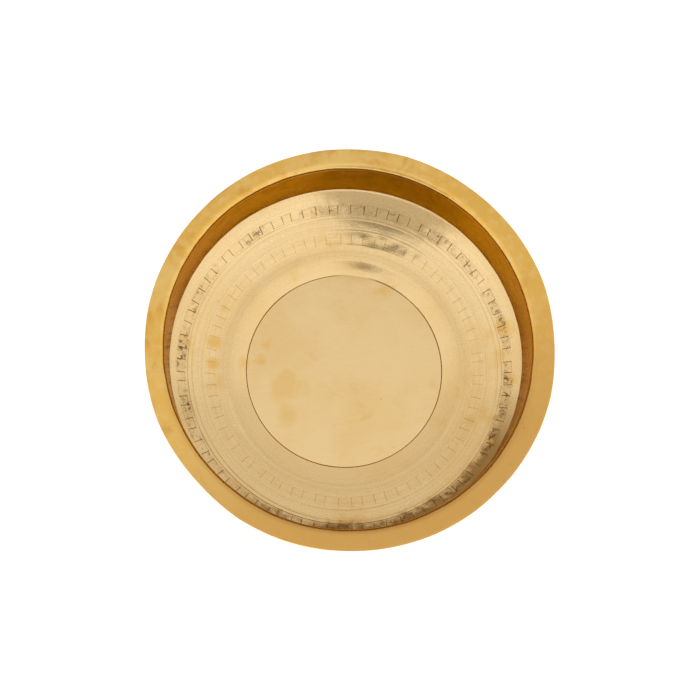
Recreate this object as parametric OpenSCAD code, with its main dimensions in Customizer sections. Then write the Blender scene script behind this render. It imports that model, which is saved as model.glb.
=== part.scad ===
// Wide-mouthed brass water pot, raised from three sheets that are joined by two toothed, brazed seams.
// The pot stands on Z = 0 with its axis on Z. Lengths are in millimetres and angles in degrees.

/* [Overall] */
// diameter over the edge of the lip
rim_d = 196; // [190:1:210]
// height from the ground to the top of the lip
pot_h = 66; // [62:1:90]
// thickness of the brass sheet
sheet = 1.2; // [1:0.1:1.4]

/* [Lip, neck and belly] */
// inside diameter of the straight neck
neck_d = 173; // [168:1:176]
// radius of the rolled corner between the neck and the lip
lip_roll = 3; // [2:0.25:4]
// height above the ground at which the wall starts to flare out below the neck
neck_foot_h = 36; // [35:1:42]
// inside diameter of the belly at its widest
belly_d = 185.6; // [184:0.2:187]
// height of the widest part of the belly above the ground
belly_h = 22; // [21:0.5:24]

/* [Base] */
// diameter of the flat disc that the pot stands on
foot_d = 101; // [90:1:106]
// diameter of the crest of the raised ring round the flat disc
ring_d = 122; // [119:1:125]
// height that the ring rises above the flat disc
ring_rise = 3.4; // [2.8:0.2:3.8]

/* [Seams] */
// teeth round the belly seam, counting both sheets
belly_teeth = 84; // [60:2:96]
// teeth round the base seam, counting both sheets
base_teeth = 72; // [48:2:84]
// width of the gap round each tooth that the brazing metal fills
braze_gap = 0.4; // [0.3:0.05:0.6]
// thickness of the film of brazing metal between the lapped teeth
braze_film = 0.2; // [0.1:0.05:0.3]

/* [Scribed lines] */
// depth of the lines scribed round the inside of the bowl
scribe_depth = 0.25; // [0.1:0.05:0.4]

/* [Hidden] */
$fn = 128;

// how far a cutter runs past the surface that it cuts
over = 0.6;
// steps in each curved stretch of the section
curve_steps = 6;

// Stations on the inside surface, each as [radius, height], with the slope of the wall in degrees from level.
foot_edge = [foot_d / 2, sheet];
// the ring rises straight from the crease round the disc, then turns over to its crest
ring_edge = [ring_d / 2, sheet + ring_rise];
ring_turn_w = 2.8;
ring_turn_drop = 0.6;
ring_turn = ring_edge - [ring_turn_w, ring_turn_drop];
foot_slope = atan((ring_turn.y - foot_edge.y) / (ring_turn.x - foot_edge.x));
ring_slope = 5;

// The wall is straight across each seam, and for a short land beyond each end of its teeth.
seam_land = 0.5;

base_seam_slope = 22;
base_seam_w = 5.4;
base_seam_in = [66.2, sheet + 4.5];
base_land_in = along(base_seam_in, base_seam_slope, -seam_land);
base_land_out = along(base_seam_in, base_seam_slope, base_seam_w + seam_land);

belly_seam_slope = 32;
belly_seam_w = 4.6;
belly_seam_in = [81, sheet + 11];
belly_land_in = along(belly_seam_in, belly_seam_slope, -seam_land);
belly_land_out = along(belly_seam_in, belly_seam_slope, belly_seam_w + seam_land);

// the bowl's edge, just before the tight turn into the belly
bowl_edge = [89.5, sheet + 16.6];
bowl_edge_slope = 38;

upright = 90;
belly_max = [belly_d / 2, belly_h];
// the shoulder leans in above the belly
shoulder_inset = 1.4;
shoulder_rise = 3.8;
shoulder = belly_max + [-shoulder_inset, shoulder_rise];
shoulder_slope = 130;
neck_foot = [neck_d / 2, neck_foot_h];
lip_centre = [neck_d / 2 + lip_roll, pot_h - lip_roll];
edge_r = sheet / 2;
edge_centre = [rim_d / 2 - edge_r, pot_h - edge_r];

// The scribed lines, as radii on the inside of the bowl. The first and last mark how deep the teeth are cut.
scribe_radii = [72.8, 78.2, 79.9];
scribe_w = 0.6;

brass_yellow = "#DDA94A";
brass_pale = "#EFD09A";
spelter_tan = "#B98A4E";

// the point at a distance up a straight slope from a start point
function along(start, slope, distance) = start + distance * [cos(slope), sin(slope)];

// a point moved square to the wall, from the inside surface towards the outside
function outward(p, slope, depth) = p + depth * [sin(slope), -cos(slope)];

// cubic curve between two points with a slope at each end, and its direction
function bend(p0, v0, p1, v1, t) =
    (2 * t ^ 3 - 3 * t ^ 2 + 1) * p0 + (t ^ 3 - 2 * t ^ 2 + t) * v0
    + (3 * t ^ 2 - 2 * t ^ 3) * p1 + (t ^ 3 - t ^ 2) * v1;
function bend_dir(p0, v0, p1, v1, t) =
    (6 * t ^ 2 - 6 * t) * (p0 - p1) + (3 * t ^ 2 - 4 * t + 1) * v0 + (3 * t ^ 2 - 2 * t) * v1;

// one curved stretch of the wall, at a depth below the inside surface
function stretch(p0, slope0, p1, slope1, depth) =
    let (
        reach = norm(p1 - p0),
        v0 = reach * [cos(slope0), sin(slope0)],
        v1 = reach * [cos(slope1), sin(slope1)]
    )
    [
        for (i = [0 : curve_steps])
            let (
                t = i / curve_steps,
                dir = bend_dir(p0, v0, p1, v1, t)
            )
            outward(bend(p0, v0, p1, v1, t), atan2(dir.y, dir.x), depth)
    ];

function arc(centre, r, from, to) = [
    for (i = [0 : curve_steps])
        let (a = from + (to - from) * i / curve_steps)
        centre + r * [cos(a), sin(a)]
];

function reversed(points) = [for (i = [len(points) - 1 : -1 : 0]) points[i]];

// Each sheet's line from its lower edge to its upper edge, at a depth below the inside surface.
function base_pan_line(depth) = concat(
    [[0, sheet - depth]],
    [outward(foot_edge, 0, depth)],
    [outward(foot_edge, foot_slope, depth)],
    stretch(ring_turn, foot_slope, ring_edge, ring_slope, depth),
    stretch(ring_edge, ring_slope, base_land_in, base_seam_slope, depth),
    [outward(along(base_seam_in, base_seam_slope, base_seam_w - braze_gap), base_seam_slope, depth)]
);

function bowl_line(depth) = concat(
    [outward(along(base_seam_in, base_seam_slope, braze_gap), base_seam_slope, depth)],
    stretch(base_land_out, base_seam_slope, belly_land_in, belly_seam_slope, depth),
    [outward(along(belly_seam_in, belly_seam_slope, belly_seam_w - braze_gap), belly_seam_slope, depth)]
);

function upper_body_line(depth) = concat(
    [outward(along(belly_seam_in, belly_seam_slope, braze_gap), belly_seam_slope, depth)],
    stretch(belly_land_out, belly_seam_slope, bowl_edge, bowl_edge_slope, depth),
    stretch(bowl_edge, bowl_edge_slope, belly_max, upright, depth),
    stretch(belly_max, upright, shoulder, shoulder_slope, depth),
    stretch(shoulder, shoulder_slope, neck_foot, upright, depth),
    arc(lip_centre, lip_roll - depth, 180, 90)
);

module base_pan() {
    color(brass_pale)
    difference() {
        rotate_extrude()
        polygon(concat(base_pan_line(0), reversed(base_pan_line(sheet))));

        lower_sheet_laps(base_seam_in, base_seam_slope, base_seam_w, base_teeth);
    }
}

module bowl() {
    color(brass_pale)
    difference() {
        rotate_extrude()
        polygon(concat(bowl_line(0), reversed(bowl_line(sheet))));

        upper_sheet_laps(base_seam_in, base_seam_slope, base_seam_w, base_teeth);
        lower_sheet_laps(belly_seam_in, belly_seam_slope, belly_seam_w, belly_teeth);

        for (r = scribe_radii)
            scribed_line(r);
    }
}

module upper_body() {
    color(brass_yellow)
    difference() {
        rotate_extrude()
        polygon(concat(
            upper_body_line(0),
            arc(edge_centre, edge_r, 90, -90),
            reversed(upper_body_line(sheet))
        ));

        upper_sheet_laps(belly_seam_in, belly_seam_slope, belly_seam_w, belly_teeth);
    }
}

module base_seam() {
    color(spelter_tan)
    spelter(base_seam_in, base_seam_slope, base_seam_w, base_teeth);
}

module belly_seam() {
    color(spelter_tan)
    spelter(belly_seam_in, belly_seam_slope, belly_seam_w, belly_teeth);
}

// A slanted four-sided section on the seam's slope: from one distance up the slope to another,
// and from one depth below the inside surface to another.
module slope_section(start, slope, from, to, near, deep) {
    polygon([
        outward(along(start, slope, from), slope, near),
        outward(along(start, slope, to), slope, near),
        outward(along(start, slope, to), slope, deep),
        outward(along(start, slope, from), slope, deep)
    ]);
}

// Every second tooth of a seam, as blocks. The blocks are wider or narrower than the pitch by a gap.
module tooth_blocks(start, teeth, first, grow) {
    pitch = 360 / teeth;
    sweep = pitch + grow / start.x * 180 / PI;
    for (k = [first : 2 : teeth - 1])
        rotate(k * pitch - sweep / 2)
        rotate_extrude(angle = sweep)
        children();
}

// The sheet below a seam keeps the inner half of its even teeth and the outer half of its odd teeth.
module lower_sheet_laps(start, slope, w, teeth) {
    tooth_blocks(start, teeth, 0, braze_gap)
    slope_section(start, slope, 0, w + over, (sheet - braze_film) / 2, sheet + over);

    tooth_blocks(start, teeth, 1, braze_gap)
    slope_section(start, slope, 0, w + over, -over, (sheet + braze_film) / 2);
}

// The sheet above a seam keeps the other halves.
module upper_sheet_laps(start, slope, w, teeth) {
    tooth_blocks(start, teeth, 1, braze_gap)
    slope_section(start, slope, -over, w, (sheet - braze_film) / 2, sheet + over);

    tooth_blocks(start, teeth, 0, braze_gap)
    slope_section(start, slope, -over, w, -over, (sheet + braze_film) / 2);
}

// The brazing metal is what the teeth of the two sheets leave empty in the seam.
module spelter(start, slope, w, teeth) {
    difference() {
        rotate_extrude()
        slope_section(start, slope, 0, w, 0, sheet);

        tooth_blocks(start, teeth, 0, -braze_gap)
        slope_section(start, slope, -over, w - braze_gap, -over, (sheet - braze_film) / 2);

        tooth_blocks(start, teeth, 1, -braze_gap)
        slope_section(start, slope, -over, w - braze_gap, (sheet + braze_film) / 2, sheet + over);

        tooth_blocks(start, teeth, 1, -braze_gap)
        slope_section(start, slope, braze_gap, w + over, -over, (sheet - braze_film) / 2);

        tooth_blocks(start, teeth, 0, -braze_gap)
        slope_section(start, slope, braze_gap, w + over, (sheet + braze_film) / 2, sheet + over);
    }
}

// A shallow V cut round the inside of the bowl at a radius.
module scribed_line(r) {
    run = (r - base_land_out.x) / (belly_land_in.x - base_land_out.x);
    slope = base_seam_slope + (belly_seam_slope - base_seam_slope) * run;
    reach = norm(belly_land_in - base_land_out);
    p = bend(
        base_land_out, reach * [cos(base_seam_slope), sin(base_seam_slope)],
        belly_land_in, reach * [cos(belly_seam_slope), sin(belly_seam_slope)],
        run
    );
    rotate_extrude()
    polygon([
        outward(p, slope, scribe_depth),
        outward(p + [scribe_w, scribe_w * tan(slope)], slope, -scribe_depth),
        outward(p - [scribe_w, scribe_w * tan(slope)], slope, -scribe_depth)
    ]);
}

upper_body();
bowl();
base_pan();
belly_seam();
base_seam();
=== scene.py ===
import math
from itertools import product

import bmesh
import bpy
import numpy as np
from mathutils import Matrix, Vector, noise


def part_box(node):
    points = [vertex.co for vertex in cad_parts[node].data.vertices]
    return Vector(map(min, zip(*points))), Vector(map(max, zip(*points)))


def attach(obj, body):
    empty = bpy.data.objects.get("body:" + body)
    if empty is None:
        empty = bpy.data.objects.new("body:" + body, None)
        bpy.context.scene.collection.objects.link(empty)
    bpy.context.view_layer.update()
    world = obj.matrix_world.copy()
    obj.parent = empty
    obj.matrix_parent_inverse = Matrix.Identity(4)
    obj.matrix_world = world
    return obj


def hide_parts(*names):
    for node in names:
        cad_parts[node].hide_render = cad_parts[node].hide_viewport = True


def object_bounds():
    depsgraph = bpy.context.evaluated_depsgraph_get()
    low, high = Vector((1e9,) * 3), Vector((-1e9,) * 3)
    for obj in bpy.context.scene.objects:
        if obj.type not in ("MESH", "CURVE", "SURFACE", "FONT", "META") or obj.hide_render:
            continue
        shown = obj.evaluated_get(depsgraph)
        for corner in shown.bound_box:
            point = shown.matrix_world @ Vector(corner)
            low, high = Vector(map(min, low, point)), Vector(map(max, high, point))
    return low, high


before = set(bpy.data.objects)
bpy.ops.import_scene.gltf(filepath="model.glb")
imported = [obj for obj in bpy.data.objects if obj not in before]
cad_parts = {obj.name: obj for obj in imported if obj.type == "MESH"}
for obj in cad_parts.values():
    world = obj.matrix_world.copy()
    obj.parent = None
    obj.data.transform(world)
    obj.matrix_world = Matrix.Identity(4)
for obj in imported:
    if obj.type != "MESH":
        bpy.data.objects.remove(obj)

# A wide-mouthed brass water pot. Each sheet is a closed shell on a grid that runs round the axis and up the
# wall, and the two toothed seams are cut along the grid's own lines. Lengths are in metres and angles in
# radians.

cad_low, cad_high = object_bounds()

MM = 0.001
TURN = 2 * math.pi

# ---------------------------------------------------------------- the wall's section

SHEET = 1.2 * MM
RIM_R = cad_high.x
POT_H = cad_high.z
UPRIGHT = math.radians(90)

BASE_TEETH = 72
BASE_SEAM_SLOPE = math.radians(22)
BASE_SEAM_W = 5.4 * MM
BELLY_TEETH = 84
BELLY_SEAM_SLOPE = math.radians(32)
BELLY_SEAM_W = 4.6 * MM
SEAM_LAND = 0.5 * MM


def along(start, slope, distance):
    """The point at a distance up a straight slope."""
    return (start[0] + distance * math.cos(slope), start[1] + distance * math.sin(slope))


def seam_start(node, slope, width):
    """The lower inside edge of a seam, from the box of its brazing metal in the frame."""
    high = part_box(node)[1]
    return (high.x - SHEET * math.sin(slope) - width * math.cos(slope), high.z - width * math.sin(slope))


BASE_IN = seam_start("base_seam", BASE_SEAM_SLOPE, BASE_SEAM_W)
BELLY_IN = seam_start("belly_seam", BELLY_SEAM_SLOPE, BELLY_SEAM_W)

FOOT_EDGE = (50.5 * MM, SHEET)
RING_TURN = (58.2 * MM, SHEET + 2.8 * MM)
FOOT_SLOPE = math.atan2(RING_TURN[1] - FOOT_EDGE[1], RING_TURN[0] - FOOT_EDGE[0])
RING_EDGE = (61 * MM, SHEET + 3.4 * MM)
RING_SLOPE = math.radians(5)
BOWL_EDGE = (89.5 * MM, SHEET + 16.6 * MM)
BOWL_EDGE_SLOPE = math.radians(38)
BELLY_MAX = (92.8 * MM, 22 * MM)
SHOULDER = (91.4 * MM, 25.8 * MM)
SHOULDER_SLOPE = math.radians(130)
NECK_FOOT = (86.5 * MM, 36 * MM)
LIP_ROLL = 3 * MM
LIP_CENTRE = (NECK_FOOT[0] + LIP_ROLL, POT_H - LIP_ROLL)
# radii of the three lines scribed inside the bowl
SCRIBED = (72.8 * MM, 78.2 * MM, 79.9 * MM)


class Section:
    """The wall's inside line as samples of radius, height and slope against the distance along it."""

    def __init__(self):
        self.r, self.z, self.a, self.s = [0.0], [SHEET], [0.0], [0.0]

    def add(self, r, z, a):
        step = math.hypot(r - self.r[-1], z - self.z[-1])
        self.r.append(r)
        self.z.append(z)
        self.a.append(a)
        self.s.append(self.s[-1] + max(step, 1e-7))
        return self.s[-1]

    def straight(self, to, slope):
        return self.add(to[0], to[1], slope)

    def bend(self, to, slope0, slope1, steps=60):
        """The same cubic curve as in the CAD section."""
        p0 = np.array([self.r[-1], self.z[-1]])
        p1 = np.array(to)
        reach = np.linalg.norm(p1 - p0)
        v0 = reach * np.array([math.cos(slope0), math.sin(slope0)])
        v1 = reach * np.array([math.cos(slope1), math.sin(slope1)])
        for t in np.linspace(0, 1, steps + 1)[1:]:
            p = (
                (2 * t**3 - 3 * t**2 + 1) * p0 + (t**3 - 2 * t**2 + t) * v0
                + (3 * t**2 - 2 * t**3) * p1 + (t**3 - t**2) * v1
            )
            d = (6 * t**2 - 6 * t) * (p0 - p1) + (3 * t**2 - 4 * t + 1) * v0 + (3 * t**2 - 2 * t) * v1
            self.add(p[0], p[1], math.atan2(d[1], d[0]))
        return self.s[-1]

    def arc(self, centre, radius, start, stop, steps=24):
        for t in np.linspace(start, stop, steps + 1)[1:]:
            self.add(centre[0] + radius * math.cos(t), centre[1] + radius * math.sin(t), t - UPRIGHT)
        return self.s[-1]

    def s_at_radius(self, radius):
        """The distance along the wall at a radius below the belly's widest line."""
        widest = int(np.argmax(np.array(self.r) >= BELLY_MAX[0] - 1e-9))
        return float(np.interp(radius, self.r[: widest + 1], self.s[: widest + 1]))


section = Section()
S_FOOT = section.straight(FOOT_EDGE, 0.0)
section.add(FOOT_EDGE[0], FOOT_EDGE[1], FOOT_SLOPE)
section.straight(RING_TURN, FOOT_SLOPE)
S_RING = section.bend(RING_EDGE, FOOT_SLOPE, RING_SLOPE)
section.bend(along(BASE_IN, BASE_SEAM_SLOPE, -SEAM_LAND), RING_SLOPE, BASE_SEAM_SLOPE)
S_BASE_IN = section.straight(BASE_IN, BASE_SEAM_SLOPE)
S_BASE_OUT = S_BASE_IN + BASE_SEAM_W
section.straight(along(BASE_IN, BASE_SEAM_SLOPE, BASE_SEAM_W + SEAM_LAND), BASE_SEAM_SLOPE)
section.bend(along(BELLY_IN, BELLY_SEAM_SLOPE, -SEAM_LAND), BASE_SEAM_SLOPE, BELLY_SEAM_SLOPE)
S_BELLY_IN = section.straight(BELLY_IN, BELLY_SEAM_SLOPE)
S_BELLY_OUT = S_BELLY_IN + BELLY_SEAM_W
section.straight(along(BELLY_IN, BELLY_SEAM_SLOPE, BELLY_SEAM_W + SEAM_LAND), BELLY_SEAM_SLOPE)
section.bend(BOWL_EDGE, BELLY_SEAM_SLOPE, BOWL_EDGE_SLOPE)
S_BELLY_MAX = section.bend(BELLY_MAX, BOWL_EDGE_SLOPE, UPRIGHT)
section.bend(SHOULDER, UPRIGHT, SHOULDER_SLOPE)
S_NECK_FOOT = section.bend(NECK_FOOT, SHOULDER_SLOPE, UPRIGHT)
S_NECK_TOP = section.straight((NECK_FOOT[0], LIP_CENTRE[1]), UPRIGHT)
S_LIP = section.arc(LIP_CENTRE, LIP_ROLL, 2 * UPRIGHT, UPRIGHT)
S_END = section.straight((RIM_R, POT_H), 0.0)
S_SCRIBED = [section.s_at_radius(r) for r in SCRIBED]
S_BASE_MID = (S_BASE_IN + S_BASE_OUT) / 2
S_BELLY_MID = (S_BELLY_IN + S_BELLY_OUT) / 2

# ---------------------------------------------------------------- hand-made irregularities

# the lip is narrower on the left, and its edge runs in short cuts that are nearly straight
LIP_NARROWING = 2.0 * MM
OVAL = 0.002
OVAL_TURN = math.radians(60)
TRIM_CORNERS = [math.radians(a) for a in (-116, -66, -24, 22, 74, 118, 161, 203)]
TRIM_DEPTH = 0.35 * MM
GROOVE_HALF_W = 0.28 * MM
CREASE_DEPTH = 0.15 * MM
SCRIBE_DEPTH = 0.07 * MM
# the crease round the base disc is missing over one short stretch
RUBBED_TURN = math.radians(82)
RUBBED_HALF = math.radians(11)
# how far the seams, the middle scribed line and the lip's edge wander along the wall
BELLY_WANDER = 0.5 * MM
BASE_WANDER = 0.45 * MM
BELLY_JITTER = 0.28 * MM
BASE_JITTER = 0.30 * MM
SCRIBED_WANDER = 0.9 * MM
LIP_WAVER = 0.25 * MM
# how far the teeth lean to either side across a seam's width, in radians round the pot
BASE_TOOTH_LEAN = 0.0045
BELLY_TOOTH_LEAN = 0.0040
# heights of the swells, dents and flats in the sheet
BODY_SWELL = 0.25 * MM
SHEET_RIPPLE = 0.05 * MM
TOOTH_DENT = 0.16 * MM
RUBBED_DENT = 0.25 * MM
OUTSIDE_FLAT = 0.10 * MM
INSIDE_FLAT = 0.03 * MM
NECK_FLAT = 0.13 * MM
NECK_RIPPLE = 0.10 * MM


def waves(phi, seed, orders, size):
    """A smooth periodic wobble round the pot, between about -size and size."""
    rng = np.random.default_rng(seed)
    total = np.zeros_like(phi)
    for order in orders:
        total += rng.normal() * np.cos(order * phi + rng.uniform(0, TURN)) / math.sqrt(len(orders))
    return total * size / 1.5


def fade(s, centre, reach):
    return np.exp(-(((s - centre) / reach) ** 2))


def turn_gap(phi, turn):
    """The smallest angle between two directions."""
    return np.abs((phi - turn + math.pi) % TURN - math.pi)


def rubbed(phi):
    """1 where the crease is missing, falling to 0 elsewhere."""
    return fade(turn_gap(phi, RUBBED_TURN), 0, RUBBED_HALF)


def shifted(phi, s):
    """Turn and distance along the wall, with the hand-cut wander of the seams, lines and lip edge."""
    out = s.copy()
    out += waves(phi, 11, (1, 2, 3, 5), BELLY_WANDER) * fade(s, S_BELLY_MID, 4 * MM)
    out += waves(phi, 12, (1, 2, 4, 7), BASE_WANDER) * fade(s, S_BASE_MID, 4 * MM)
    out += waves(phi, 14, (19, 31, 43), BELLY_JITTER) * fade(s, S_BELLY_MID, 3 * MM)
    out += waves(phi, 15, (17, 29, 37), BASE_JITTER) * fade(s, S_BASE_MID, 3 * MM)
    out += waves(phi, 16, (1, 2), SCRIBED_WANDER) * fade(s, S_SCRIBED[1], 2.2 * MM)
    lip = np.clip((s - S_LIP) / (S_END - S_LIP), 0, 1)
    out -= lip * LIP_NARROWING * (0.5 - 0.5 * np.cos(phi))
    corner = np.min([turn_gap(phi, turn) for turn in TRIM_CORNERS], axis=0)
    out -= lip * TRIM_DEPTH * np.clip(corner / math.radians(20), 0, 1) ** 0.8
    out -= lip * np.abs(waves(phi, 13, (2, 3, 5, 8), LIP_WAVER))

    lean = (
        waves(phi, 17, (13, 27, 41), BASE_TOOTH_LEAN) * (s - S_BASE_MID) / BASE_SEAM_W
        * fade(s, S_BASE_MID, 5 * MM)
    )
    lean += (
        waves(phi, 18, (11, 25, 39), BELLY_TOOTH_LEAN) * (s - S_BELLY_MID) / BELLY_SEAM_W
        * fade(s, S_BELLY_MID, 5 * MM)
    )
    return phi + lean, out


def groove(phi, s, centre, depth, seed):
    """Depth of a scribed line, which fades in and out round the pot."""
    strength = np.clip(0.75 + waves(phi, seed, (2, 3, 6), 0.5), 0.2, 1)
    return depth * strength * np.clip(1 - np.abs(s - centre) / GROOVE_HALF_W, 0, 1)


def field(points, size, seed=0.0):
    """Smooth noise over points, with features of about that size."""
    offset = Vector((seed * 7.31, seed * 3.17, seed * 5.03))
    return np.array([noise.noise(Vector(p) / size + offset) for p in points])


def planished(points, size):
    """Shallow flats such as a planishing hammer leaves, from 0 at a flat's middle to 1 at its edge."""
    return np.array([min(noise.voronoi(Vector(p) / size)[0][0] ** 2, 1.0) for p in points])


def wall(phi, s, depth, inside, outside):
    """Points of the wall. depth runs from 0 on the inside surface to SHEET on the outside one."""
    turn, reach = shifted(phi, s)
    r = np.interp(reach, section.s, section.r)
    z = np.interp(reach, section.s, section.z)
    a = np.interp(reach, section.s, section.a)
    nr, nz = -np.sin(a), np.cos(a)
    r0, z0 = r - depth * nr, z - depth * nz
    p = np.stack([r0 * np.cos(turn), r0 * np.sin(turn), z0], 1)

    push = np.zeros_like(r)
    for centre, seed in zip(S_SCRIBED, (21, 22, 23)):
        push -= inside * groove(phi, s, centre, SCRIBE_DEPTH, seed)
    push -= inside * groove(phi, s, S_FOOT, CREASE_DEPTH, 25) * (1 - rubbed(phi))

    body = np.clip((s - S_FOOT) / (10 * MM), 0, 1)
    push += body * field(p, 45 * MM, 1) * BODY_SWELL
    push += field(p, 16 * MM, 2) * SHEET_RIPPLE
    # the seams are uneven, tooth by tooth
    push += fade(s, S_BASE_MID, 4 * MM) * field(p, 6 * MM, 3) * TOOTH_DENT
    push += fade(s, S_BELLY_MID, 4 * MM) * field(p, 5 * MM, 4) * TOOTH_DENT
    # the ring is dented where the crease is missing
    push -= inside * fade(s, S_FOOT + 3 * MM, 3.5 * MM) * rubbed(phi) * RUBBED_DENT
    upper = np.clip((s - S_BELLY_OUT) / (6 * MM), 0, 1)
    push -= outside * planished(p, 9 * MM) * OUTSIDE_FLAT
    push -= inside * upper * planished(p + 0.05, 10 * MM) * INSIDE_FLAT
    neck = np.clip((s - S_BELLY_MAX) / (6 * MM), 0, 1) * np.clip((S_LIP - s) / (3 * MM), 0, 1)
    push -= inside * neck * (planished(p + 0.09, 7 * MM) * NECK_FLAT + field(p, 9 * MM, 5) * NECK_RIPPLE)

    # the flat foot stays on the ground, and no surface leaves the frame's box
    radial = np.clip(r0 + push * nr, 0, None)
    height = z0 + push * nz
    oval = 1 - OVAL * np.clip(height / POT_H, 0, 1) * (0.5 + 0.5 * np.cos(2 * (turn - OVAL_TURN)))
    radial = np.minimum(radial * oval, RIM_R)
    height = np.clip(height, 0, POT_H)
    return np.stack([radial * np.cos(turn), radial * np.sin(turn), height], 1)


# ---------------------------------------------------------------- grid lines and owners

BASE_PAN, BASE_SEAM, BOWL, BELLY_SEAM, UPPER_BODY = range(5)
BRAZE_GAP = 0.26 * MM
# clean margin of the grid beside each cut edge
MARGIN = 0.30 * MM


# how far a tooth edge may lie out of place, as a share of the pitch
TOOTH_SCATTER = 0.17


class Seam:
    """The tooth edges of one seam, as angles, each a little out of place as hand cutting leaves it."""

    def __init__(self, teeth, s_in, width, radius, seed, lower, fill, upper):
        rng = np.random.default_rng(seed)
        pitch = TURN / teeth
        self.edges = (np.arange(teeth) + 0.5 + rng.uniform(-TOOTH_SCATTER, TOOTH_SCATTER, teeth)) * pitch
        self.half_gap = BRAZE_GAP / 2 / radius
        self.margin = MARGIN / radius
        self.s_in, self.s_out = s_in, s_in + width
        self.lower, self.fill, self.upper = lower, fill, upper

    def columns(self):
        steps = (-self.half_gap - self.margin, -self.half_gap, self.half_gap, self.half_gap + self.margin)
        return np.concatenate([self.edges + d for d in steps]) % TURN

    def rows(self):
        return [
            self.s_in - MARGIN, self.s_in, self.s_in + BRAZE_GAP, self.s_in + BRAZE_GAP + MARGIN,
            *np.linspace(self.s_in, self.s_out, 6)[1:-1],
            self.s_out - BRAZE_GAP - MARGIN, self.s_out - BRAZE_GAP, self.s_out, self.s_out + MARGIN,
        ]

    def own(self, owner, phi, s):
        """Marks the seam's cells. owner is indexed by column, row and layer, with layer 0 the inner half."""
        tooth = np.searchsorted(self.edges, phi) % 2
        in_gap = np.min(turn_gap(phi[:, None], self.edges[None, :]), axis=1) < self.half_gap
        for j in np.flatnonzero((s > self.s_in) & (s < self.s_out)):
            for layer in (0, 1):
                lower_tooth = tooth == layer
                cell = np.where(lower_tooth, self.lower, self.upper)
                if s[j] < self.s_in + BRAZE_GAP:
                    cell = np.where(lower_tooth, self.lower, self.fill)
                if s[j] > self.s_out - BRAZE_GAP:
                    cell = np.where(lower_tooth, self.fill, self.upper)
                owner[:, j, layer] = np.where(in_gap, self.fill, cell)


# the middle of a seam lies about this much further out than its inner edge
SEAM_MID_OUT = 2 * MM
base_seam = Seam(
    BASE_TEETH, S_BASE_IN, BASE_SEAM_W, BASE_IN[0] + SEAM_MID_OUT, 31, BASE_PAN, BASE_SEAM, BOWL
)
belly_seam = Seam(
    BELLY_TEETH, S_BELLY_IN, BELLY_SEAM_W, BELLY_IN[0] + SEAM_MID_OUT, 32, BOWL, BELLY_SEAM, UPPER_BODY
)


def merged(values, spacing, period=None):
    """Sorted grid lines with near doubles removed and wide gaps filled evenly."""
    values = np.sort(np.asarray(values))
    values = values[np.insert(np.diff(values) > 1e-6, 0, True)]
    if period:
        values = np.append(values, values[0] + period)
    lines = []
    for low, high in zip(values[:-1], values[1:]):
        count = max(1, math.ceil((high - low) / spacing - 1e-6))
        lines.extend(low + (high - low) * k / count for k in range(count))
    if not period:
        lines.append(values[-1])
    return np.array(lines)


def groove_rows(centre):
    return [centre + k * GROOVE_HALF_W for k in (-2, -1, -0.5, 0, 0.5, 1, 2)]


def grid_owner(columns, rows):
    """Which piece owns each cell of a grid, by column, row and layer."""
    phi = (columns + np.append(columns[1:], columns[0] + TURN)) / 2 % TURN
    s = (rows[1:] + rows[:-1]) / 2
    owner = np.full((len(phi), len(s), 2), BOWL)
    owner[:, s < S_BASE_IN] = BASE_PAN
    owner[:, s > S_BELLY_OUT] = UPPER_BODY
    base_seam.own(owner, phi, s)
    belly_seam.own(owner, phi, s)
    return owner


# ---------------------------------------------------------------- pieces

LIP_EDGE_ROUND = 0.36 * MM
# dirt along the tips of the belly's teeth, where the edge beside a tooth holds 1
TIP_DIRT = 0.5
# how strongly each scribed line shows, from the inner one out
SCRIBED_SHOW = (0.4, 0.55, 0.85)
LINE_HALF_W = GROOVE_HALF_W * 0.6
SHARP_ANGLE = math.radians(38)


def cut_edges(owner, rows):
    """How much dirt each vertex holds: most beside a tooth, less along the tips of the belly's teeth."""
    n, m = owner.shape[0], len(rows)
    layer_owner = owner[:, :, [0, 0, 1]]
    tips = np.zeros((n, m, 3), bool)
    change = layer_owner[:, 1:] != layer_owner[:, :-1]
    tips[:, 1:-1] |= change | np.roll(change, 1, axis=0)
    sides = np.zeros((n, m, 3), bool)
    change = layer_owner != np.roll(layer_owner, 1, axis=0)
    sides[:, :-1] |= change
    sides[:, 1:] |= change
    tips &= (rows > S_BASE_OUT + MM)[None, :, None]
    return np.maximum(sides * 1.0, tips * TIP_DIRT)


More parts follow.
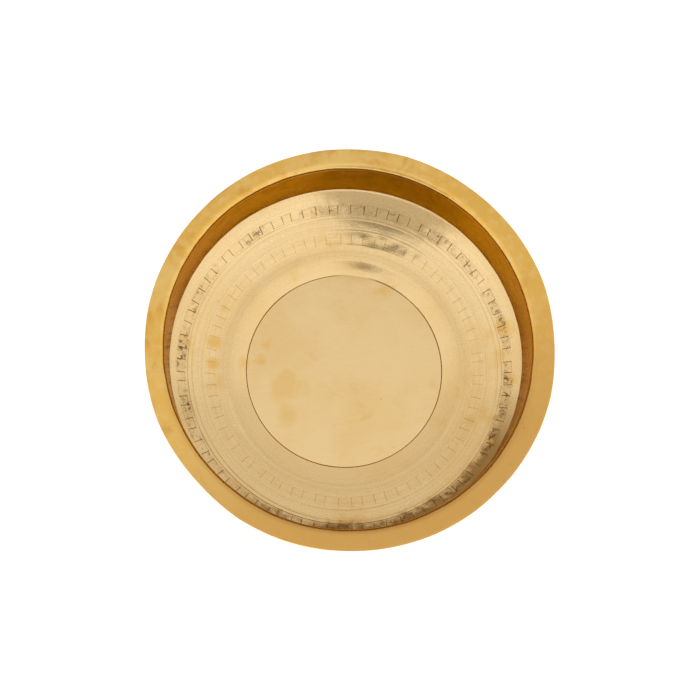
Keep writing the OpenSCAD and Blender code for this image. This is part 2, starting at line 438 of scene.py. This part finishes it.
def shell(name, code, columns, rows, recess=0.0):
    """A closed mesh of the grid cells that one piece owns."""
    n, m = len(columns), len(rows)
    owner = grid_owner(columns, rows)
    mine = owner == code
    i, j, level = (a.ravel() for a in np.meshgrid(np.arange(n), np.arange(m), np.arange(3), indexing="ij"))
    phi, s = columns[i], rows[j]
    depth = level * SHEET / 2
    inside, outside = (level == 0) * 1.0, (level == 2) * 1.0
    if code == UPPER_BODY:
        for row, pull in ((m - 1, LIP_EDGE_ROUND), (m - 2, LIP_EDGE_ROUND / 4)):
            depth = np.where((j == row) & (level == 0), pull, depth)
            depth = np.where((j == row) & (level == 2), SHEET - pull, depth)
        s = np.where((j == m - 1) & (level != 1), s - LIP_EDGE_ROUND / 4, s)
    depth = depth + recess * (inside - outside)
    points = wall(phi, s, depth, inside, outside)

    def vertex(ii, jj, kk):
        return (ii % n) * m * 3 + jj * 3 + kk

    faces = []
    ci, cj, ck = np.nonzero(mine)
    padded = np.pad(mine, ((0, 0), (1, 1), (1, 1)))

    def quads(mask, corners):
        a = [vertex(ci[mask] + di, cj[mask] + dj, ck[mask] + dk) for di, dj, dk in corners]
        faces.append(np.stack(a, 1))

    quads(~padded[ci, cj + 1, ck], ((0, 0, 0), (1, 0, 0), (1, 1, 0), (0, 1, 0)))
    quads(~padded[ci, cj + 1, ck + 2], ((0, 0, 1), (0, 1, 1), (1, 1, 1), (1, 0, 1)))
    quads(~padded[ci, cj, ck + 1], ((0, 0, 0), (0, 0, 1), (1, 0, 1), (1, 0, 0)))
    quads(~padded[ci, cj + 2, ck + 1], ((0, 1, 0), (1, 1, 0), (1, 1, 1), (0, 1, 1)))
    quads(~mine[(ci - 1) % n, cj, ck], ((0, 0, 0), (0, 1, 0), (0, 1, 1), (0, 0, 1)))
    quads(~mine[(ci + 1) % n, cj, ck], ((1, 0, 0), (1, 0, 1), (1, 1, 1), (1, 1, 0)))
    faces = np.concatenate(faces)
    used, index = np.unique(faces, return_inverse=True)
    faces = index.reshape(faces.shape)

    line = inside * (np.abs(s - S_FOOT) < LINE_HALF_W) * (1 - rubbed(phi))
    for centre, amount in zip(S_SCRIBED, SCRIBED_SHOW):
        line = np.maximum(line, amount * inside * (np.abs(s - centre) < LINE_HALF_W))

    mesh = bpy.data.meshes.new(name)
    mesh.from_pydata(points[used].tolist(), [], faces.tolist())
    for attribute, values in (("grime", cut_edges(owner, rows).ravel()), ("line", line), ("inside", inside)):
        layer = mesh.attributes.new(attribute, "FLOAT", "POINT")
        layer.data.foreach_set("value", values[used].astype(np.float32))
    bm = bmesh.new()
    bm.from_mesh(mesh)
    bmesh.ops.remove_doubles(bm, verts=bm.verts, dist=1e-6)
    bmesh.ops.recalc_face_normals(bm, faces=bm.faces)
    bm.to_mesh(mesh)
    bm.free()
    mesh.shade_smooth()
    mesh.set_sharp_from_angle(angle=SHARP_ANGLE)
    piece = bpy.data.objects.new(name, mesh)
    bpy.context.scene.collection.objects.link(piece)
    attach(piece, "root")
    return piece


# spacing of the grids, up the wall and round the pot
ROW = 1.25 * MM
BOWL_ROW = 0.8 * MM
COLUMN = math.radians(0.8)
BASE_COLUMN = math.radians(1.0)
# how far the brazing filler lies below the sheet's faces
BELLY_RECESS = 0.06 * MM
BASE_RECESS = 0.03 * MM
belly_columns = merged(belly_seam.columns(), COLUMN, TURN)
base_columns = merged(base_seam.columns(), BASE_COLUMN, TURN)
bowl_columns = merged(np.concatenate([belly_seam.columns(), base_seam.columns()]), COLUMN, TURN)

pan_rows = merged([0.0, *groove_rows(S_FOOT), S_RING, *base_seam.rows()], ROW)
bowl_rows = merged(
    [*base_seam.rows(), *belly_seam.rows(), *(row for centre in S_SCRIBED for row in groove_rows(centre))],
    BOWL_ROW,
)
upper_rows = merged(
    [
        *belly_seam.rows(), S_BELLY_MAX, S_NECK_FOOT, S_NECK_TOP,
        *np.linspace(S_NECK_TOP, S_LIP, 9)[1:], S_END - 0.5 * MM, S_END - 0.15 * MM, S_END,
    ],
    ROW,
)

upper_body = shell("upper_body_sheet", UPPER_BODY, belly_columns, upper_rows)
bowl = shell("bowl_sheet", BOWL, bowl_columns, bowl_rows)
base_pan = shell("base_pan_sheet", BASE_PAN, base_columns, pan_rows)
belly_rows = merged(belly_seam.rows(), ROW)
base_rows = merged(base_seam.rows(), ROW)
belly_fill = shell("belly_seam_spelter", BELLY_SEAM, belly_columns, belly_rows, BELLY_RECESS)
base_fill = shell("base_seam_spelter", BASE_SEAM, base_columns, base_rows, BASE_RECESS)

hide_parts("upper_body")
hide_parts("bowl")
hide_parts("base_pan")
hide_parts("belly_seam")
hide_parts("base_seam")

# ---------------------------------------------------------------- materials


class Graph:
    """Short calls for building a material's nodes."""

    def __init__(self, name):
        self.material = bpy.data.materials.new(name)
        self.material.use_nodes = True
        self.tree = self.material.node_tree
        self.shader = self.tree.nodes["Principled BSDF"]

    def node(self, kind, **settings):
        n = self.tree.nodes.new("ShaderNode" + kind)
        for key, value in settings.items():
            setattr(n, key, value)
        return n

    def put(self, socket, value):
        if isinstance(value, bpy.types.NodeSocket):
            self.tree.links.new(value, socket)
        else:
            socket.default_value = value

    def math(self, operation, a, b=0.0, clamp=False):
        n = self.node("Math", operation=operation, use_clamp=clamp)
        self.put(n.inputs[0], a)
        self.put(n.inputs[1], b)
        return n.outputs[0]

    def product(self, *values):
        total = values[0]
        for value in values[1:]:
            total = self.math("MULTIPLY", total, value)
        return total

    def inverse(self, value):
        return self.math("SUBTRACT", 1.0, value)

    def vector(self, operation, a, b):
        n = self.node("VectorMath", operation=operation)
        self.put(n.inputs[0], a)
        self.put(n.inputs[1], b)
        return n.outputs["Value" if operation == "DOT_PRODUCT" else "Vector"]

    def length(self, a):
        n = self.node("VectorMath", operation="LENGTH")
        self.put(n.inputs[0], a)
        return n.outputs["Value"]

    def attribute(self, name):
        return self.node("Attribute", attribute_name=name).outputs["Fac"]

    def noise(self, at, scale, detail=4.0, roughness=0.55, distortion=0.0):
        n = self.node("TexNoise")
        self.put(n.inputs["Vector"], at)
        n.inputs["Scale"].default_value = scale
        n.inputs["Detail"].default_value = detail
        n.inputs["Roughness"].default_value = roughness
        n.inputs["Distortion"].default_value = distortion
        return n.outputs["Fac"]

    def window(self, value, low, high):
        """0 below low, 1 above high, and smooth in between."""
        n = self.node("MapRange", interpolation_type="SMOOTHSTEP")
        self.put(n.inputs["Value"], value)
        n.inputs["From Min"].default_value = low
        n.inputs["From Max"].default_value = high
        return n.outputs["Result"]

    def band(self, value, middle, half):
        """1 near the middle, falling smoothly to 0 at half a band's width on either side."""
        gap = self.math("ABSOLUTE", self.math("SUBTRACT", value, middle))
        return self.inverse(self.window(gap, half * 0.3, half))

    def span(self, value, low, high, to_low, to_high):
        n = self.node("MapRange")
        self.put(n.inputs["Value"], value)
        for key, x in zip(("From Min", "From Max", "To Min", "To Max"), (low, high, to_low, to_high)):
            n.inputs[key].default_value = x
        return n.outputs["Result"]

    def mix(self, factor, a, b):
        n = self.node("Mix", data_type="RGBA")
        self.put(n.inputs["Factor"], factor)
        for socket, value in ((n.inputs[6], a), (n.inputs[7], b)):
            self.put(socket, value if isinstance(value, bpy.types.NodeSocket) else (*value, 1.0))
        return n.outputs[2]

    def bump(self, height, distance, normal=None):
        n = self.node("Bump")
        n.inputs["Distance"].default_value = distance
        self.put(n.inputs["Height"], height)
        if normal is not None:
            self.put(n.inputs["Normal"], normal)
        return n.outputs["Normal"]


CREAM = (0.80, 0.590, 0.300)
TAN = (0.765, 0.520, 0.225)
AMBER = (0.70, 0.385, 0.065)
GOLD = (0.735, 0.430, 0.095)
PALE_GOLD = (0.78, 0.535, 0.19)
DEEP_GOLD = (0.60, 0.290, 0.045)
# painted shade: the brown of the neck's inside stands in for the shade and dim reflections there
NECK_SHADE_BROWN = (0.30, 0.150, 0.020)
DULL_GOLD = (0.575, 0.315, 0.085)
EDGE_TINT = (1.0, 0.72, 0.38, 1)
CUT_TAN = (0.42, 0.245, 0.085)
RESIDUE = (0.150, 0.070, 0.018)
SMOKE = (0.37, 0.205, 0.075)
STREAK = (0.61, 0.405, 0.175)
SHADE_BROWN = (0.24, 0.115, 0.022)
# painted shade: the darker patches of the neck's inside
NECK_SHADE_DARK = (0.15, 0.068, 0.010)

# directions of the side where the lip is duller, and of the near side, where painted shade browns the bowl
# just outside the belly seam
DULL_LIP_TURN = math.radians(-68)
SHADED_NEAR_TURN = math.radians(-72)

# noise scales, in features to the metre
CLOUD_SCALE = 24
DIRT_SCALE = 42
PATCH_SCALE = 70
HAMMER_SCALE = 150
MOTTLE_SCALE = 210
BLOTCH_SCALE = 420
PIT_SCALE = 620
SAND_SCALE = 1500
SPUN_SCALE = 2400
SPUN_BROAD_SCALE = 460
GRAIN_SCALE = 2600
# the rolled grain of the sheet is drawn out along X
GRAIN_STRETCH = (0.06, 1.0, 1.0)
# heights of the relief in the surface
SPUN_DEPTH = 0.022 * MM
GRAIN_DEPTH = 0.003 * MM
PIT_DEPTH = 0.012 * MM
MOTTLE_DEPTH = 0.05 * MM
# roughness of the polished metal, and what the satin outside and the dirt add to it
POLISHED_ROUGH = (0.13, 0.22)
SATIN_ROUGH = 0.14
DIRT_ROUGH = 0.3
# how far the dirt covers the metal's colour, and how much of its shine it takes
DIRT_COVER = 0.92
DIRT_UNMETAL = 0.25

# turn, radius, reach and strength of the amber stains inside
STAINS = (
    (math.radians(179), BASE_IN[0] + 1.5 * MM, 5 * MM, 0.85),
    (math.radians(169), BASE_IN[0] + 1.5 * MM, 5 * MM, 0.75),
    (math.radians(186), BASE_IN[0] - 1.0 * MM, 7 * MM, 0.45),
    (math.radians(154), BASE_IN[0] + 3.0 * MM, 3 * MM, 0.5),
    (math.radians(14), BELLY_IN[0] + 3.0 * MM, 6 * MM, 0.8),
    (math.radians(13), BELLY_IN[0] - 5.0 * MM, 5 * MM, 0.4),
    (math.radians(5), BELLY_IN[0] - 1.0 * MM, 5 * MM, 0.6),
    (math.radians(-5), BELLY_IN[0] + 4.0 * MM, 4 * MM, 0.6),
    (math.radians(-28), BELLY_IN[0] + 3.0 * MM, 5 * MM, 0.6),
    (math.radians(-18), BASE_IN[0] + 8.0 * MM, 5 * MM, 0.5),
    (math.radians(-23), BASE_IN[0] + 4.0 * MM, 5 * MM, 0.55),
    (math.radians(-142), FOOT_EDGE[0] * 0.75, 8 * MM, 0.4),
    (math.radians(196), FOOT_EDGE[0] * 0.6, 12 * MM, 0.4),
    (math.radians(176), FOOT_EDGE[0] + 1.5 * MM, 5 * MM, 0.4),
)


class Brass(Graph):
    """Sheet brass, pale and polished inside the bowl, yellow on the lip, neck and outside, with painted shade
    in dark brown on the inside of the neck.
    """

    def __init__(self, name, warmth):
        super().__init__(name)
        self.position = self.node("TexCoord").outputs["Object"]
        self.radius = self.length(self.vector("MULTIPLY", self.position, (1, 1, 0)))
        parts = self.node("SeparateXYZ")
        self.put(parts.inputs[0], self.position)
        self.height = parts.outputs["Z"]
        spun = self.node("CombineXYZ")
        self.put(spun.inputs[0], self.radius)
        self.put(spun.inputs[1], self.height)
        self.spun = spun.outputs[0]
        self.inside = self.attribute("inside")
        self.clouds = self.noise(self.position, CLOUD_SCALE, 4, 0.55, 0.3)
        self.patches = self.noise(self.moved(0.3), PATCH_SCALE, 5, 0.6, 0.5)
        self.mottle = self.noise(self.moved(0.7), MOTTLE_SCALE, 4, 0.6)
        self.dirt_patches = self.noise(self.moved(1.1), DIRT_SCALE, 4, 0.7)
        self.pits = self.noise(self.moved(1.7), PIT_SCALE, 3, 0.6)
        self.lines = self.noise(self.spun, SPUN_SCALE, 3, 0.7)
        self.broad_lines = self.noise(self.spun, SPUN_BROAD_SCALE, 2, 0.6)
        self.grain = self.noise(self.vector("MULTIPLY", self.position, GRAIN_STRETCH), GRAIN_SCALE, 2, 0.6)
        self.up_wall = self.window(self.radius, FOOT_EDGE[0], RING_EDGE[0])
        low = self.inverse(self.window(self.height, BELLY_MAX[1] - 3 * MM, BELLY_MAX[1] + 4 * MM))
        self.polished = self.product(self.inside, low)
        self.warmth = warmth

    def moved(self, step):
        return self.vector("ADD", self.position, (step, step * 0.4, step * 0.2))

    def toward(self, turn, low, high):
        """1 on one side of the pot. low and high are cosines of the angle away from that side's direction."""
        side = self.vector("DOT_PRODUCT", self.position, (math.cos(turn), math.sin(turn), 0))
        return self.window(self.math("DIVIDE", side, self.radius), low, high)

    def spot(self, turn, radius, reach):
        """1 near a place inside the bowl, given by its direction and radius."""
        place = (-radius * math.cos(turn), -radius * math.sin(turn), 0)
        gap = self.length(self.vector("MULTIPLY", self.vector("ADD", self.position, place), (1, 1, 0)))
        gap = self.math("ADD", gap, self.span(self.patches, 0.3, 0.7, -reach * 0.4, reach * 0.4))
        return self.inverse(self.window(gap, reach * 0.15, reach))

    def polished_colour(self):
        """The pale inside of the bowl, with warmer clouds and faint stains."""
        warm = self.math("ADD", self.product(self.window(self.clouds, 0.40, 0.66), 0.55), self.warmth, True)
        colour = self.mix(warm, CREAM, TAN)
        stain = self.product(
            self.window(self.patches, 0.55, 0.70), self.window(self.clouds, 0.46, 0.60), 0.45
        )
        for turn, radius, reach, amount in STAINS:
            stain = self.math("MAXIMUM", stain, self.product(self.spot(turn, radius, reach), amount))
        return self.mix(stain, colour, AMBER)

    def yellow_colour(self):
        """The yellow of the lip and the outside, mottled, with the lip duller over one side."""
        colour = self.mix(self.product(self.window(self.clouds, 0.40, 0.64), 0.6), GOLD, PALE_GOLD)
        colour = self.mix(self.product(self.window(self.patches, 0.50, 0.68), 0.55), colour, DEEP_GOLD)
        colour = self.mix(self.product(self.window(self.mottle, 0.48, 0.64), 0.45), colour, PALE_GOLD)
        lip = self.window(self.height, POT_H - 8 * MM, POT_H - 2 * MM)
        # the lip is duller over one side, towards the lower right of the camera's view
        return self.mix(self.product(self.toward(DULL_LIP_TURN, -0.15, 0.9), lip, 0.9), colour, DULL_GOLD)

    def colour(self):
        yellow = self.yellow_colour()
        # painted shade: the inside of the neck is coloured dark brown in hammered patches, standing in for
        # its shade and dim reflections
        neck = self.product(
            self.inside,
            self.window(self.height, NECK_FOOT[1] - 8 * MM, NECK_FOOT[1]),
            self.inverse(self.window(self.height, LIP_CENTRE[1] - 1 * MM, POT_H - 0.8 * MM)),
        )
        hammered = self.window(self.noise(self.moved(3.1), HAMMER_SCALE, 3, 0.6, 1.5), 0.44, 0.60)
        brown = self.mix(self.product(hammered, 0.55), NECK_SHADE_BROWN, NECK_SHADE_DARK)
        yellow = self.mix(self.product(neck, 0.88), yellow, brown)
        return self.mix(self.polished, yellow, self.polished_colour())

    def satin_streaks(self):
        """How strongly spun lines, sanding and rolled grain show on the polished metal."""
        spun = self.math(
            "ADD", self.product(self.window(self.lines, 0.45, 0.62), 0.17),
            self.product(self.window(self.broad_lines, 0.46, 0.62), 0.18),
        )
        sand = self.noise(self.moved(2.9), SAND_SCALE, 2, 0.6)
        sand_share = self.math("ADD", self.product(self.up_wall, 0.26), 0.10)
        sandy = self.product(self.window(sand, 0.40, 0.66), sand_share)
        streak = self.math("ADD", self.product(spun, self.up_wall), sandy)
        grainy = self.product(self.window(self.grain, 0.42, 0.65), 0.08)
        return self.product(self.math("ADD", streak, grainy, True), self.polished)

    def cut_marks(self, edge, tick):
        """How much the cut edges and the scribed lines show as tan."""
        edge_wear = self.product(edge, self.span(self.dirt_patches, 0.34, 0.60, 0.55, 1.0), 0.5 + 0.35 * tick)
        line = self.product(self.attribute("line"), self.span(self.dirt_patches, 0.35, 0.62, 0.1, 0.9))
        return self.math("MAXIMUM", edge_wear, self.product(line, 0.6))

    def near_side_painted_shade(self, seam_dirt_and_shade):
        """Painted shade: wavy scallops of brown just outside the belly seam, on the near side of the bowl."""
        wavy = self.math("ADD", self.radius, self.span(self.patches, 0.35, 0.65, -2.2 * MM, 2.2 * MM))
        wavy = self.math("ADD", wavy, self.span(self.mottle, 0.35, 0.65, -1.2 * MM, 1.2 * MM))
        scale = self.product(
            self.window(wavy, BELLY_IN[0] - 1.2 * MM, BELLY_IN[0] + 3.0 * MM), self.inside,
            self.inverse(self.window(self.height, BELLY_MAX[1], NECK_FOOT[1])),
        )
        return self.product(scale, self.toward(SHADED_NEAR_TURN, 0.40, 0.80), seam_dirt_and_shade, 0.85)

    def dirt(self, edge, tick, seam_dirt_and_shade):
        """Dark residue in the teeth and specks, and the soft smoke round the belly seam."""
        belly = self.product(
            self.band(self.radius, BELLY_IN[0] + 1.9 * MM, 3.4 * MM), self.inside, seam_dirt_and_shade
        )
        heavy = self.window(self.dirt_patches, 0.42, 0.62)
        tick_dirt = self.product(edge, self.span(self.dirt_patches, 0.34, 0.54, 0.3, 1.0), tick)
        blotch = self.noise(self.moved(2.3), BLOTCH_SCALE, 3, 0.65, 0.8)
        residue = self.product(belly, heavy, self.window(blotch, 0.51, 0.62), 0.85)
        speck = self.product(self.window(self.pits, 0.67, 0.75), self.window(self.clouds, 0.45, 0.62), 0.5)
        dark = self.math("MAXIMUM", tick_dirt, self.math("MAXIMUM", residue, speck))
        return dark, self.product(belly, heavy, 0.22)

    def gloss(self, dark, smoke):
        lip_top = self.window(self.height, POT_H - 1.5 * MM, POT_H)
        satin = self.math("MAXIMUM", lip_top, self.inverse(self.inside))
        roughness = self.span(self.clouds, 0.3, 0.7, *POLISHED_ROUGH)
        roughness = self.math("ADD", roughness, self.product(satin, SATIN_ROUGH))
        roughness = self.math("ADD", roughness, self.span(self.lines, 0.35, 0.65, -0.025, 0.03))
        roughness = self.math("ADD", roughness, self.span(self.grain, 0.35, 0.65, -0.015, 0.02))
        dirty = self.product(self.math("MAXIMUM", dark, smoke), DIRT_ROUGH)
        return self.math("ADD", roughness, dirty, True)

    def relief(self):
        """Spun lines up the bowl's wall, which hardly reach the disc, then grain, pits and mottling."""
        spun_depth = self.math("ADD", self.product(self.lines, 0.4), self.broad_lines)
        normal = self.bump(self.product(spun_depth, self.up_wall), SPUN_DEPTH)
        normal = self.bump(self.grain, GRAIN_DEPTH, normal)
        normal = self.bump(self.pits, PIT_DEPTH, normal)
        return self.bump(self.mottle, MOTTLE_DEPTH, normal)

    def finish(self, tick, seam_dirt_and_shade):
        """The whole surface. tick is how dark the tooth edges are; the seam argument is how dirty the belly
        seam is and how strong the painted shade beside it is.
        """
        edge = self.window(self.attribute("grime"), 0.25, 1.0)
        dark, smoke = self.dirt(edge, tick, seam_dirt_and_shade)
        colour = self.mix(self.satin_streaks(), self.colour(), STREAK)
        colour = self.mix(self.cut_marks(edge, tick), colour, CUT_TAN)
        # painted shade: a brown band on the near side of the bowl, just beyond the belly seam
        colour = self.mix(self.near_side_painted_shade(seam_dirt_and_shade), colour, SHADE_BROWN)
        colour = self.mix(smoke, colour, SMOKE)
        colour = self.mix(self.product(dark, DIRT_COVER), colour, RESIDUE)
        self.put(self.shader.inputs["Base Color"], colour)
        self.put(self.shader.inputs["Metallic"], self.inverse(self.product(dark, DIRT_UNMETAL)))
        self.shader.inputs["Specular Tint"].default_value = EDGE_TINT
        self.put(self.shader.inputs["Roughness"], self.gloss(dark, smoke))
        self.put(self.shader.inputs["Normal"], self.relief())
        return self.material


upper_brass = Brass("upper_brass", warmth=0.05).finish(tick=0.9, seam_dirt_and_shade=1.0)
bowl_brass = Brass("bowl_brass", warmth=0.05).finish(tick=0.0, seam_dirt_and_shade=1.0)
base_brass = Brass("base_brass", warmth=0.30).finish(tick=0.0, seam_dirt_and_shade=0.0)
belly_spelter = Brass("belly_spelter", warmth=0.30).finish(tick=0.9, seam_dirt_and_shade=1.0)
base_spelter = Brass("base_spelter", warmth=0.50).finish(tick=0.0, seam_dirt_and_shade=0.0)

for piece, material in (
    (upper_body, upper_brass), (bowl, bowl_brass), (base_pan, base_brass),
    (belly_fill, belly_spelter), (base_fill, base_spelter),
):
    piece.data.materials.append(material)

# ---------------------------------------------------------------- floor, light and camera

FLOOR_HALF = 4.0
FLOOR_DROP = 0.05 * MM
FLOOR_WHITE = 0.97
FLOOR_ROUGH = 0.9
FLOOR_GLOW = 0.30
floor_mesh = bpy.data.meshes.new("floor")
floor_mesh.from_pydata(
    [(x * FLOOR_HALF, y * FLOOR_HALF, -FLOOR_DROP) for x, y in ((-1, -1), (1, -1), (1, 1), (-1, 1))],
    [], [(0, 1, 2, 3)],
)
floor = bpy.data.objects.new("floor", floor_mesh)
bpy.context.scene.collection.objects.link(floor)
floor_graph = Graph("pale_floor")
floor_graph.shader.inputs["Base Color"].default_value = (FLOOR_WHITE, FLOOR_WHITE, FLOOR_WHITE, 1)
floor_graph.shader.inputs["Roughness"].default_value = FLOOR_ROUGH
floor_graph.shader.inputs["Specular IOR Level"].default_value = 0.0
floor_graph.shader.inputs["Emission Color"].default_value = (1, 1, 1, 1)
floor_graph.shader.inputs["Emission Strength"].default_value = FLOOR_GLOW
floor_mesh.materials.append(floor_graph.material)

# The camera looks down steeply into the mouth, from a little to the left of the front.
TILT = math.radians(12.3)
SIDE = math.radians(10)
DISTANCE = 6.4 * RIM_R
AIM_BELOW_RIM = 0.15 * RIM_R
VIEW_WIDTH = 3.352 * RIM_R

rim = Vector((0, 0, POT_H))
near = Vector((-math.sin(SIDE), -math.cos(SIDE), 0))
back = near * math.sin(TILT) + Vector((0, 0, math.cos(TILT)))
eye = rim + back * DISTANCE
target = rim + Vector((LIP_NARROWING / 2, 0, -AIM_BELOW_RIM))
forward = (target - eye).normalized()
right = forward.cross(Vector((0, 1, 0))).normalized()
up = right.cross(forward)
camera_data = bpy.data.cameras.new("camera")
camera_data.lens = camera_data.sensor_width * DISTANCE / VIEW_WIDTH
camera_data.clip_end = 50
camera = bpy.data.objects.new("camera", camera_data)
camera.matrix_world = Matrix.Translation(eye) @ Matrix((right, up, -forward)).transposed().to_4x4()
bpy.context.scene.collection.objects.link(camera)
bpy.context.scene.camera = camera

# A soft dome, brighter on the camera's side than on the far side.
DOME_STRENGTH = 1.0
# brightness and warmth from the near horizon over the top to the far horizon
DOME_BANDS = (
    (0.05, (1.16, 1.17, 1.20)), (0.30, (1.16, 1.17, 1.20)), (0.50, (1.06, 1.07, 1.08)),
    (0.61, (1.00, 1.00, 1.00)), (0.69, (0.85, 0.83, 0.80)), (0.89, (0.83, 0.80, 0.76)),
    (0.97, (0.62, 0.59, 0.55)),
)
BAND_SCALE = 1.25
world = bpy.data.worlds.new("soft_dome")
bpy.context.scene.world = world
world.use_nodes = True
dome = world.node_tree
direction = dome.nodes.new("ShaderNodeTexCoord").outputs["Generated"]
split = dome.nodes.new("ShaderNodeSeparateXYZ")
dome.links.new(direction, split.inputs[0])
across = dome.nodes.new("ShaderNodeMapRange")
across.inputs["From Min"].default_value = -1.0
dome.links.new(split.outputs["Y"], across.inputs["Value"])
ramp = dome.nodes.new("ShaderNodeValToRGB")
ramp.color_ramp.interpolation = "EASE"
while len(ramp.color_ramp.elements) < len(DOME_BANDS):
    ramp.color_ramp.elements.new(0.5)
for stop, (position, band_colour) in zip(ramp.color_ramp.elements, DOME_BANDS):
    stop.position = position
    stop.color = (*(c / BAND_SCALE for c in band_colour), 1)
dome.links.new(across.outputs["Result"], ramp.inputs[0])
# the sides of the dome are a little brighter than its top, and the change falls between two heights
SIDE_FADE = (0.72, 0.93)
SIDE_GAIN = 1.08
sides = dome.nodes.new("ShaderNodeMapRange")
sides.interpolation_type = "SMOOTHSTEP"
for key, value in zip(("From Min", "From Max", "To Min", "To Max"), (*SIDE_FADE, SIDE_GAIN, 1.0)):
    sides.inputs[key].default_value = value
dome.links.new(split.outputs["Z"], sides.inputs["Value"])
strength = dome.nodes.new("ShaderNodeMath")
strength.operation = "MULTIPLY"
dome.links.new(sides.outputs["Result"], strength.inputs[0])
strength.inputs[1].default_value = DOME_STRENGTH * BAND_SCALE
dome.links.new(ramp.outputs["Color"], dome.nodes["Background"].inputs["Color"])
dome.links.new(strength.outputs[0], dome.nodes["Background"].inputs["Strength"])

# A dark panel stands on the near side, behind the camera, and is seen only in reflections. It is darkest
# at its top.
PANEL_DISTANCE = 1.6
PANEL_LAYER_GAP = 0.02
PANEL_LOW, PANEL_HIGH = math.radians(64), math.radians(26)
PANEL_HALF_TURN = math.radians(17)
PANEL_TURN = math.radians(-6)
PANEL_STRIPS = 6
PANEL_DARK, PANEL_PALE = 0.10, 0.40
# the panel's width is this share at its top, and this much more of it at its foot
PANEL_TOP_WIDTH = 0.75
PANEL_FOOT_MORE = 0.35
OUTER_WIDER = 0.6
OUTER_PALER = 0.5
PANEL_WARMTH = (1, 0.96, 0.9)
# a paler, wider sheet just behind the dark one softens its edges
for layer, strip in product((0, 1), range(PANEL_STRIPS)):
    share = strip / (PANEL_STRIPS - 1)
    step = (PANEL_LOW - PANEL_HIGH) / PANEL_STRIPS
    tilt_high = PANEL_HIGH + strip * step
    half_turn = PANEL_HALF_TURN * (PANEL_TOP_WIDTH + PANEL_FOOT_MORE * share) * (1 + OUTER_WIDER * layer)
    corners = []
    distance = PANEL_DISTANCE + PANEL_LAYER_GAP * layer
    for tilt in (tilt_high + step, tilt_high):
        for turn in (-half_turn, half_turn):
            heading = Matrix.Rotation(PANEL_TURN + turn, 3, "Z") @ near
            corners.append((heading * math.sin(tilt) + Vector((0, 0, math.cos(tilt)))) * distance)
    panel_mesh = bpy.data.meshes.new(f"dark_panel_{layer}_{strip}")
    panel_mesh.from_pydata(corners, [], [(0, 1, 3, 2)])
    panel = bpy.data.objects.new(f"dark_panel_{layer}_{strip}", panel_mesh)
    bpy.context.scene.collection.objects.link(panel)
    grey = PANEL_DARK + (PANEL_PALE - PANEL_DARK) * share
    grey += (1 - grey) * OUTER_PALER * layer
    panel_graph = Graph(f"panel_grey_{layer}_{strip}")
    panel_graph.shader.inputs["Base Color"].default_value = (0, 0, 0, 1)
    panel_graph.shader.inputs["Emission Color"].default_value = (*(grey * c for c in PANEL_WARMTH), 1)
    panel_graph.shader.inputs["Emission Strength"].default_value = 1.0
    panel_mesh.materials.append(panel_graph.material)
    panel.visible_camera = False
    panel.visible_shadow = False
    panel.visible_diffuse = False

bpy.context.scene.view_settings.view_transform = "Standard"
